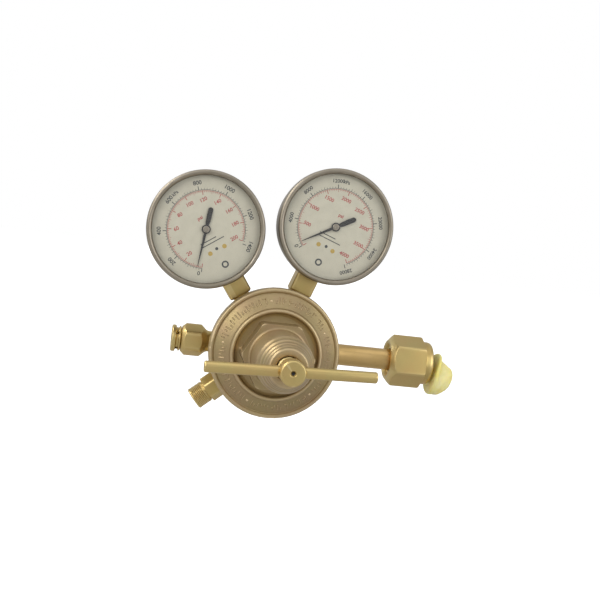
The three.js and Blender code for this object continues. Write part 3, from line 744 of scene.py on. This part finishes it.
def make_inlet():
    """Inlet nipple with its shoulder and conical nose, and the union nut that turns on it."""
    tube_radius = 6.5
    nipple = rounded([
        (4.3, 17.3), (6.2, 17.3), (6.8, 18), (6.8, 33.8), (8.6, 33.8), (8.6, 36.2), (tube_radius, 36.8),
        (tube_radius, 78.6), (8.4, 79.4), (8.4, 84), (7.4, 84.6), (7.4, 88), (7.1, 90.5), (6.4, 92.6),
        (5.3, 94.3), (4.4, NOSE), (2.8, NOSE), (2.5, NOSE - 0.4), (2.5, 30), (4.3, 30),
    ], 0.35)
    piece("inlet_tube", spin(nipple, 80, closed=True), port(0), TUBE, "root", ["inlet_nipple"])

    back = (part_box("inlet_nut")[0].x - AXIS_X) / MM
    front = (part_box("inlet_nut")[1].x - AXIS_X) / MM
    hex_end = back + 21.6

    def outline(angle):
        hexagon = hex_rows(angle - NUT_TURN, NUT_FLATS, back, hex_end, back_radius=11.9, front_radius=15.4,
                           slope=0.9, corner=0.25)
        collar = [
            (13.2, hex_end + 0.4), (13.2, front - 2.2), (12.8, front - 0.8), (12.1, front), (11.6, front),
            (11.0, front - 0.6),
        ]
        thread = thread_rows(angle, radius=11.9, depth=0.7, pitch=NUT_PITCH,
                             start=back + 8.4, end=front - 0.8, per_turn=6)
        inner = [
            (10.2, back + 7), (10.2, back + 5.4), (7.2, back + 5.4), (7.2, back + 1.8), (9.4, back + 1.8),
            (10.3, back),
        ]
        return rounded(hexagon + collar, 0.3) + thread[::-1] + inner

    nut = spin(outline, bar_angles(6, NUT_TURN), closed=True)
    piece("inlet_union_nut", nut, port(0), TURNED, "nut", ["inlet_nut"])


PLUG_PLACE = (104.2, -6, 0)
PLUG_DROOP = math.radians(6)


def make_dust_plug():
    """Soft vinyl plug that hangs low on the nut and droops. Its lower side is fuller, its lip wavy."""
    place = (DRAWING @ Matrix.Translation(PLUG_PLACE) @ Matrix.Rotation(-PLUG_DROOP, 4, "Z")
             @ Matrix.Rotation(math.pi / 2, 4, "Y"))
    back = [(0, -3.5), (3.3, -3.5), (4.3, -2.9), (5.3, -1.3), (12.4, -1.1), (13.1, -0.5)]
    upper = [
        (13.1, 0.3), (12.4, 1.0), (10.8, 1.8), (8.8, 4.6), (7.2, 8.4), (5.6, 11.2), (3.4, 12.9), (0, 13.3),
    ]
    lower = [
        (13.1, 0.4), (13.0, 2.6), (12.6, 5.6), (11.4, 8.2), (9.4, 10.4), (6.6, 12.2), (3.6, 13.0), (0, 13.3),
    ]

    def outline(angle):
        share = max(0.0, -math.sin(angle)) ** 0.8
        front = [(a * (1 - share) + c * share, b * (1 - share) + d * share)
                 for (a, b), (c, d) in zip(upper, lower)]
        return rounded(back + front, 0.9, 4)

    verts, faces = spin(outline, 96)
    shaped = []
    for x, y, z in verts:
        turn = math.atan2(y, x)
        reach = math.hypot(x, y) / 13
        pinch = max(0.0, min(1.0, (z - 1.5) / 6))
        wave = 0.3 * math.sin(3 * turn + 0.6) * max(0.0, 1 - abs(z) / 2) * reach
        fold = 1 - 0.06 * pinch * reach * (1 + math.sin(7 * turn + 0.9 * z))
        flip = 2.2 * (max(0.0, y) / 13) ** 2 * max(0.0, 1 - pinch)
        shaped.append((x * (1 - 0.1 * pinch) * fold, y * fold, z + wave + flip))
    piece("vinyl_dust_plug", (shaped, faces), place, VINYL, "plug", ["dust_plug"], 50)


# ---- outlet and relief valve ----

OUTLET_END = 55.0


def make_outlet():
    """Hose fitting: shank in the body, hexagon, and threaded spigot with an open mouth."""

    def outline(angle):
        hexagon = hex_rows(angle, 14.3, back=37.6, front=45.4, back_radius=7.6, front_radius=7.6,
                           slope=0.6, corner=0.25)
        shank = [(4.9, 22.2), (4.9, 33.8), (7.0, 33.8), (7.0, 37.5)]
        neck = [(6.3, 45.4), (6.2, 46.2)]
        thread = thread_rows(angle, radius=6.8, depth=0.28, pitch=1.0, start=46.4, end=OUTLET_END - 0.6)
        mouth = [
            (6.2, OUTLET_END), (5.0, OUTLET_END), (4.7, OUTLET_END - 0.4), (2.6, OUTLET_END - 4), (2.6, 22.2),
        ]
        return rounded(shank + hexagon + neck, 0.2) + thread + rounded(mouth, 0.2)

    place = port(direction_of("outlet_fitting"))
    piece("hose_outlet", spin(outline, bar_angles(6), closed=True), place, TURNED, "root", ["outlet_fitting"])


VENT_LEVEL = 55.7
VENT_TURNS = (35, 125)


def make_relief_valve():
    """Hexagon body, and a grooved end cap with vent holes across the groove."""
    place = port(math.pi)

    def outline(angle):
        hexagon = hex_rows(angle, 17.6, back=39.0, front=53.4, back_radius=7.0, front_radius=7.4,
                           slope=1.1, corner=0.5)
        stem = [(3.9, 22.2), (3.9, 33.8), (6.2, 33.8), (6.2, 37.2), (6.7, 38.6)]
        inner = [(5.3, 53.4), (5.3, 38), (1.8, 36), (1.8, 22.2)]
        return rounded(stem + hexagon + inner, 0.35)

    piece("relief_valve_hexagon", spin(outline, bar_angles(6), closed=True), place, TURNED, "root",
          ["relief_valve_body"])

    outline_of_cap = rounded([
        (3.6, 47.4), (4.9, 47.4), (4.9, 53.7), (7.0, 53.7), (7.5, 54.2), (7.5, 54.8), (6.5, 55.0),
        (6.5, 56.4), (7.7, 56.7), (8.0, 57.1), (8.0, 58.7), (7.5, 59.2), (1.8, 59.2), (1.5, 58.8),
        (1.5, 51), (3.6, 51),
    ], 0.25)
    cap = scratch("cap_work", spin(outline_of_cap, 72, closed=True))
    drill = spin([(0, -9), (1.0, -9), (1.0, 9), (0, 9)], 24)
    for turn in VENT_TURNS:
        cut_away(cap, moved(drill, port_turn(math.radians(turn), VENT_LEVEL)), "EXACT")
    finish_piece("relief_valve_end_cap", mesh_of(cap), place, TURNED, "root", ["relief_valve_cap"],
                 32)


# ---- gauges ----

DIAL_FRONT = depths("low_dial")[1]
BEZEL_BACK, BEZEL_FRONT = depths("low_gauge_bezel")
LENS_BACK, LENS_FRONT = depths("low_gauge_lens")
CASE_BACK, CASE_FRONT = depths("low_gauge_case")
POINTER_BACK, POINTER_FRONT = depths("low_pointer")
SHANK_WIDTH = 13.6
GAUGE_REACH = math.hypot(middle("low_gauge_bezel").x - AXIS_X, middle("low_gauge_bezel").z) / MM
SWEEP = math.radians(281)
SCALE_START = math.radians(235)
POINTER_REST = math.radians(228)
PRINT_BACK = DIAL_FRONT - 0.02
PRINT_FRONT = DIAL_FRONT + 0.05
OUTER_SCALE = 22.5
INNER_SCALE = 21.9


def scale_angle(share):
    """Direction of a share of the full scale on the dial."""
    return SCALE_START - SWEEP * share


def tick(angle, inner, outer, width):
    """Small printed line along a radius."""
    half = width / 2
    part = slab([(inner, -half), (outer, -half), (outer, half), (inner, half)], PRINT_BACK, PRINT_FRONT)
    return moved(part, Matrix.Rotation(angle, 4, "Z"))


def tick_length(index, shortest):
    """Every tenth line of a scale is long, and every fifth one is longer than the others."""
    if index % 10 == 0:
        return 2.2
    return 1.5 if index % 5 == 0 else shortest


def arc(inner, outer, start, end, steps=90):
    """Printed arc between two radii and two angles."""
    turns = [start + (end - start) * i / steps for i in range(steps + 1)]
    edge = [(outer * math.cos(t), outer * math.sin(t)) for t in turns]
    edge += [(inner * math.cos(t), inner * math.sin(t)) for t in reversed(turns)]
    count = len(turns)
    verts = [(x, y, z) for z in (PRINT_BACK, PRINT_FRONT) for x, y in edge]
    total = len(edge)
    faces = []
    for i in range(count - 1):
        a, b, c, d = i, i + 1, total - 2 - i, total - 1 - i
        faces.append((a, d, c, b))
        faces.append((total + a, total + b, total + c, total + d))
    for i in range(total):
        j = (i + 1) % total
        faces.append((i, j, total + j, total + i))
    return verts, faces


def lettering(words, size, x, y, turn):
    """Numerals as thin raised print, centred on (x, y)."""
    curve = bpy.data.curves.new("numerals", "FONT")
    curve.body = words
    curve.size = size
    curve.align_x = "CENTER"
    curve.align_y = "CENTER"
    curve.extrude = (PRINT_FRONT - PRINT_BACK) / 2
    curve.resolution_u = 3
    curve.offset = size * 0.02
    made = bpy.data.objects.new("numerals", curve)
    bpy.context.scene.collection.objects.link(made)
    bpy.context.view_layer.update()
    graph = bpy.context.evaluated_depsgraph_get()
    mesh = bpy.data.meshes.new_from_object(made.evaluated_get(graph))
    verts = [tuple(v.co) for v in mesh.vertices]
    faces = [tuple(polygon.vertices) for polygon in mesh.polygons]
    bpy.data.objects.remove(made)
    bpy.data.meshes.remove(mesh)
    level = (PRINT_BACK + PRINT_FRONT) / 2
    return moved((verts, faces), Matrix.Translation((x, y, level)) @ Matrix.Rotation(turn, 4, "Z"))


def round_label(words, size, radius, angle):
    """Numerals that stand on the scale arc and turn with it."""
    return lettering(words, size, radius * math.cos(angle), radius * math.sin(angle), angle - math.pi / 2)


def upright_label(words, size, radius, angle):
    """Numerals that stay upright."""
    return lettering(words, size, radius * math.cos(angle), radius * math.sin(angle), 0)


def dot(x, y, radius, hole=0.0):
    """Printed dot, or a ring if it has a hole."""
    rim = [(radius, PRINT_BACK), (radius, PRINT_FRONT)]
    core = [(hole, PRINT_FRONT), (hole, PRINT_BACK)]
    return moved(spin(rim + core, 24, closed=hole > 0), Matrix.Translation((x, y, 0)))


def make_dial_print(prefix, place, outer_full, outer_step, outer_top, outer_size,
                    inner_full, inner_step, inner_size):
    """Black outer scale and red inner scale, each with an arc, lines and numerals, and the small print.
    full is the value at the scale's end, step the value between two numerals, top the last numeral."""
    black = [arc(OUTER_SCALE - 0.1, OUTER_SCALE + 0.15, scale_angle(0), scale_angle(1))]
    red = [arc(INNER_SCALE - 0.1, INNER_SCALE + 0.15, scale_angle(0), scale_angle(1))]
    outer_count = int(outer_top / outer_step)
    for i in range(outer_count * 10 + 1):
        share = i * outer_step / 10 / outer_full
        if share <= 1.02:
            end = OUTER_SCALE + tick_length(i, 1.0)
            black.append(tick(scale_angle(share), OUTER_SCALE, end, 0.42 if i % 10 == 0 else 0.2))
    for i in range(1, outer_count + 1):
        angle = scale_angle(i * outer_step / outer_full)
        black.append(round_label(str(i * outer_step), outer_size, 26.7, angle))
    inner_count = int(inner_full / inner_step)
    for i in range(inner_count * 10 + 1):
        start = INNER_SCALE - tick_length(i, 0.9)
        angle = scale_angle(i / inner_count / 10)
        red.append(tick(angle, start, INNER_SCALE, 0.4 if i % 10 == 0 else 0.2))
    for i in range(1, inner_count + 1):
        red.append(upright_label(str(i * inner_step), inner_size, 16.9, scale_angle(i / inner_count)))
    black.append(round_label("0", 3.3, 25.4, POINTER_REST + 0.06))
    black.append(round_label("kPa", 2.7, 26.7, scale_angle(0.5 * (1 + outer_step / outer_full) - 0.1)))
    red.append(lettering("psi", 2.9, 0, 7.2, 0))
    piece(f"{prefix}_scale_black", merge(*black), place, GREY_INK, "root", (), 60)
    piece(f"{prefix}_scale_red", merge(*red), place, RED, "root", (), 60)

    lines = [
        slab([(-7, y), (end, y), (end, y + 0.5), (-7, y + 0.5)], PRINT_BACK, PRINT_FRONT)
        for y, end in ((-8.6, 7), (-6.6, 3))
    ]
    marks = merge(*lines, dot(0, -22.8, 2.1, 1.2), dot(0, -12.6, 0.9))
    piece(f"{prefix}_dial_lines", marks, place, GREY_INK, "root", (), 60)
    dots = merge(dot(-4.6, -13.4, 1.3), dot(4.6, -13.4, 1.3))
    piece(f"{prefix}_dial_dots", dots, place, AMBER, "root", (), 60)


def make_pointer(prefix, place):
    """Thin tapered needle with a thick round tail, its black collar and its metal boss."""
    tip, tail_end, tail_half = 21.6, -11.4, 1.45
    upper = [
        (tip, 0.14), (12, 0.5), (2.2, 0.8), (-2.4, 0.95), (-4.4, 1.35), (-7, tail_half),
        (tail_end, tail_half),
    ]
    turns = [math.pi / 2 + math.pi * i / 12 for i in range(1, 12)]
    rounding = [(tail_end + tail_half * math.cos(t), tail_half * math.sin(t)) for t in turns]
    outline = upper + rounding + [(x, -y) for x, y in reversed(upper)]
    turned = place @ Matrix.Rotation(POINTER_REST, 4, "Z")
    needle = f"{prefix}_needle"
    blade = piece(f"{prefix}_pointer_blade", slab(outline, POINTER_BACK, POINTER_BACK + 0.4), turned, BLACK,
                  needle, [f"{prefix}_pointer"])
    soften = blade.modifiers.new("soften", "BEVEL")
    soften.width = 0.00008
    soften.segments = 2
    collar = rounded([
        (1.95, POINTER_BACK + 0.05), (2.6, POINTER_BACK + 0.05), (2.6, POINTER_FRONT - 0.3),
        (2.4, POINTER_FRONT - 0.1), (1.95, POINTER_FRONT - 0.1),
    ], 0.1)
    ring = spin(collar, 48, closed=True)
    piece(f"{prefix}_pointer_collar", ring, place, BLACK, needle, ())
    hub = rounded([
        (0, POINTER_BACK + 0.05), (1.9, POINTER_BACK + 0.05), (1.9, POINTER_FRONT - 0.15),
        (1.6, POINTER_FRONT), (0.5, POINTER_FRONT), (0, POINTER_FRONT - 0.15),
    ], 0.1)
    piece(f"{prefix}_pointer_boss", spin(hub, 40), place, GAUGE_STEEL, needle, ())


def make_gauge(prefix, **scales):
    """Case, bezel, lens and its seal, dial with its print, pointer, and the square shank below."""
    place = gauge_place(prefix)
    case = rounded([
        (0, CASE_BACK + 0.8), (8, CASE_BACK + 0.8), (9, CASE_BACK), (25, CASE_BACK), (27.4, CASE_BACK + 0.1),
        (31, CASE_BACK + 3.6), (32.5, CASE_BACK + 10), (32.6, CASE_BACK + 14), (32.6, CASE_FRONT),
        (31.3, CASE_FRONT), (31.3, CASE_BACK + 11), (29.8, CASE_BACK + 4.4), (27, CASE_BACK + 1.6),
        (0, CASE_BACK + 1.6),
    ], 1.6)
    piece(f"{prefix}_case_shell", spin(case, 120), place, GAUGE_STEEL, "root", [f"{prefix}_gauge_case"])
    bezel = rounded([
        (32.9, BEZEL_BACK), (33.6, BEZEL_BACK), (33.95, BEZEL_BACK + 0.5), (33.95, BEZEL_FRONT - 1.6),
        (33.6, BEZEL_FRONT - 0.6), (32.9, BEZEL_FRONT - 0.05), (32.2, BEZEL_FRONT), (31.5, BEZEL_FRONT - 0.3),
        (31.1, BEZEL_FRONT - 0.8), (31.0, LENS_FRONT + 0.2), (32.8, LENS_FRONT + 0.2),
    ], 0.35)
    piece(f"{prefix}_bezel_ring", spin(bezel, 144, closed=True), place, GAUGE_STEEL, "root",
          [f"{prefix}_gauge_bezel"])
    seal = rounded([
        (30.7, LENS_FRONT + 0.03), (31.0, LENS_FRONT + 0.03),
        (31.0, LENS_FRONT + 0.18), (30.7, LENS_FRONT + 0.12),
    ], 0.05)
    piece(f"{prefix}_lens_seal", spin(seal, 120, closed=True), place, SEAL, "root", ())
    lens = rounded([(0, LENS_BACK), (32.5, LENS_BACK), (32.5, LENS_FRONT), (0, LENS_FRONT)], 0.2)
    piece(f"{prefix}_window", spin(lens, 96), place, WINDOW, "root", [f"{prefix}_gauge_lens"])
    dial = rounded([
        (1.6, DIAL_FRONT - 0.5), (32.3, DIAL_FRONT - 0.5), (32.3, DIAL_FRONT), (1.6, DIAL_FRONT),
    ], 0.1)
    piece(f"{prefix}_dial_face", spin(dial, 96, closed=True), place, DIAL, "root", [f"{prefix}_dial"])
    make_dial_print(prefix, place, **scales)
    make_pointer(prefix, place)

    def socket(angle):
        square = bar_radius(angle, SHANK_WIDTH / 2, 4, 0.7)
        return rounded([
            (0, 22.6), (4.3, 22.6), (4.9, 23.2), (4.9, 37.3), (min(6.6, square), 37.3), (square, 38.4),
            (square, GAUGE_REACH - 22), (square - 0.8, GAUGE_REACH - 21.4), (0, GAUGE_REACH - 21.4),
        ], 0.25)

    below = port(direction_of(f"{prefix}_gauge_bezel"), GAUGE_PLANE)
    piece(f"{prefix}_square_shank", spin(socket, bar_angles(4)), below, TURNED, "root",
          [f"{prefix}_gauge_socket"])


# ---- springs and diaphragm ----

# Back and front ends of two springs, along z of their places.
PRESSURE_SPRING = (27.9, 60.4)
RELIEF_SPRING = (40.9, 50.5)


def make_spring(name, node, place, radius, wire, levels, turns):
    """Coil between two levels of its place's z."""
    back, front = levels
    coil = tube(coil_points(radius, back + wire, front - wire, turns), wire)
    made = piece(name, coil, place, INNER["steel"], "root", [node], 60)
    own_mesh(made)


def make_springs():
    make_spring("pressure_spring", "adjusting_spring", DRAWING, radius=10.6, wire=1.35,
                levels=PRESSURE_SPRING, turns=7.5)
    closing = depths("closing_spring")
    make_spring("valve_closing_spring", "closing_spring", DRAWING, radius=3.2, wire=0.45,
                levels=closing, turns=7.5)
    make_spring("relief_valve_spring", "relief_spring", port(math.pi), radius=3.0, wire=0.4,
                levels=RELIEF_SPRING, turns=6.5)


def make_diaphragm():
    """Rubber sheet. Its middle moves with the plates; its rim, with one soft convolution, stays clamped."""
    back, front = depths("diaphragm")
    radius = half_width("diaphragm")
    inner = half_width("diaphragm_plate") + 0.6
    rim = rounded([
        (inner, back), (inner + 0.8, back), (inner + 2.2, back + 0.9), (inner + 3.6, back), (radius, back),
        (radius, front), (inner + 3.8, front), (inner + 2.2, front + 0.9), (inner + 0.6, front),
        (inner, front),
    ], 0.5)
    piece("diaphragm_rim", spin(rim, 96, closed=True), DRAWING, RUBBER, "root", ["diaphragm"])
    sheet = rounded([(0, back), (inner - 0.3, back), (inner - 0.3, front), (0, front)], 0.2)
    piece("diaphragm_middle", spin(sheet, 96), DRAWING, RUBBER, "diaphragm_stack", ())


def dress_inner_nodes():
    """Gives each CAD piece that stays its own material."""
    slots = {row["node"]: row["material_slot"] for row in frame["record"]["subparts"]}
    for name, node in frame["nodes"].items():
        if node.hide_render:
            continue
        node.data.materials.clear()
        node.data.materials.append(INNER[slots[name]])


# ---- scene ----

SENSOR = 36
FOCAL_LENGTH = 57.792
CAMERA_DISTANCE = 0.5576
CAMERA_HEADING = math.radians(9.28)
CAMERA_TILT = math.radians(3.62)
CAMERA_ROLL = math.radians(6.89)
CAMERA_TARGET = Vector((AXIS_X + 0.0109, -RIM_FRONT * MM, 0.03266))


def make_camera():
    """Camera a little to the left and above, rolled so that the object appears turned clockwise."""
    ahead = Vector((math.sin(CAMERA_HEADING), math.cos(CAMERA_HEADING), 0))
    level = Vector((math.cos(CAMERA_HEADING), -math.sin(CAMERA_HEADING), 0))
    forward = ahead * math.cos(CAMERA_TILT) - Vector((0, 0, math.sin(CAMERA_TILT)))
    upright = level.cross(forward)
    right = level * math.cos(CAMERA_ROLL) + upright * math.sin(CAMERA_ROLL)
    up = upright * math.cos(CAMERA_ROLL) - level * math.sin(CAMERA_ROLL)
    data = bpy.data.cameras.new("camera")
    data.sensor_width = SENSOR
    data.lens = FOCAL_LENGTH
    data.clip_start = 0.01
    camera = bpy.data.objects.new("camera", data)
    bpy.context.scene.collection.objects.link(camera)
    turn = Matrix((right, up, -forward)).transposed().to_4x4()
    camera.matrix_world = Matrix.Translation(CAMERA_TARGET - forward * CAMERA_DISTANCE) @ turn
    bpy.context.scene.camera = camera


def softbox(name, place, aim, width, height, power, color=(1, 1, 1)):
    """Rectangular soft lamp, sizes in metres and power in watts."""
    data = bpy.data.lights.new(name, "AREA")
    data.shape = "RECTANGLE"
    data.size = width
    data.size_y = height
    data.energy = power
    data.color = color
    lamp = bpy.data.objects.new(name, data)
    bpy.context.scene.collection.objects.link(lamp)
    lamp.location = place
    lamp.rotation_euler = (Vector(aim) - Vector(place)).to_track_quat("-Z", "Y").to_euler()


def make_world():
    """Soft, slightly cool room light; the camera itself sees plain white."""
    world = bpy.data.worlds.new("studio")
    bpy.context.scene.world = world
    world.use_nodes = True
    tree = world.node_tree
    tree.nodes.clear()
    out = tree.nodes.new("ShaderNodeOutputWorld")
    mix = tree.nodes.new("ShaderNodeMixShader")
    seen = tree.nodes.new("ShaderNodeBackground")
    room = tree.nodes.new("ShaderNodeBackground")
    rays = tree.nodes.new("ShaderNodeLightPath")
    seen.inputs["Color"].default_value = (1, 1, 1, 1)
    seen.inputs["Strength"].default_value = 1.0
    room.inputs["Color"].default_value = (0.95, 0.97, 1.0, 1)
    room.inputs["Strength"].default_value = 0.56
    tree.links.new(rays.outputs["Is Camera Ray"], mix.inputs[0])
    tree.links.new(room.outputs[0], mix.inputs[1])
    tree.links.new(seen.outputs[0], mix.inputs[2])
    tree.links.new(mix.outputs[0], out.inputs[0])


def make_lamps():
    x = (cad_box[0].x + cad_box[1].x) / 2
    softbox("key", (x - 0.8, -0.7, 0.5), (x, 0, 0.02), 0.8, 0.6, 3.6, (1, 0.97, 0.93))
    softbox("top", (x, -0.3, 1.0), (x, 0, 0), 1.0, 0.8, 1.2)
    softbox("side", (x - 0.8, 0.12, 0.8), (x, -0.05, 0), 0.3, 0.5, 4, (1, 0.97, 0.92))
    softbox("fill", (x + 0.8, -0.7, 0.3), (x, 0, 0.02), 0.8, 0.8, 3.5, (0.98, 0.98, 1))


FLOOR_HALF = 6.0
FLOOR_GAP = 0.06


def make_floor():
    """Plain pale floor a little below the object, white to the camera and grey in reflections."""
    floor = Nodes("floor", own=False)
    patches = floor.ramp(floor.noise(0.004, 2.0), 0.3, 0.7)
    shade = floor.mix(patches, (0.5, 0.5, 0.5, 1), (0.53, 0.53, 0.53, 1))
    material = floor.set(color=shade, roughness=0.9)
    floor.shader.inputs["Emission Color"].default_value = (1, 1, 1, 1)
    floor.link(floor.add("ShaderNodeLightPath").outputs["Is Camera Ray"], floor.shader, "Emission Strength")
    mesh = bpy.data.meshes.new("floor")
    level = cad_box[0].z - FLOOR_GAP
    corners = [(-1, -1), (1, -1), (1, 1), (-1, 1)]
    mesh.from_pydata([(x * FLOOR_HALF, y * FLOOR_HALF, level) for x, y in corners], [], [(0, 1, 2, 3)])
    mesh.materials.append(material)
    ground = bpy.data.objects.new("floor", mesh)
    bpy.context.scene.collection.objects.link(ground)


bpy.context.scene.view_settings.view_transform = "Standard"
make_camera()
make_world()
make_lamps()
make_floor()
make_bonnet()
make_band_ornament()
make_screw()
make_body()
make_rear_plug()
make_inlet()
make_dust_plug()
make_outlet()
make_relief_valve()
make_gauge("low", outer_full=1379, outer_step=200, outer_top=1400, outer_size=3.3,
           inner_full=200, inner_step=20, inner_size=3.0)
make_gauge("high", outer_full=27579, outer_step=4000, outer_top=28000, outer_size=3.0,
           inner_full=4000, inner_step=500, inner_size=3.0)
make_springs()
make_diaphragm()
dress_inner_nodes()
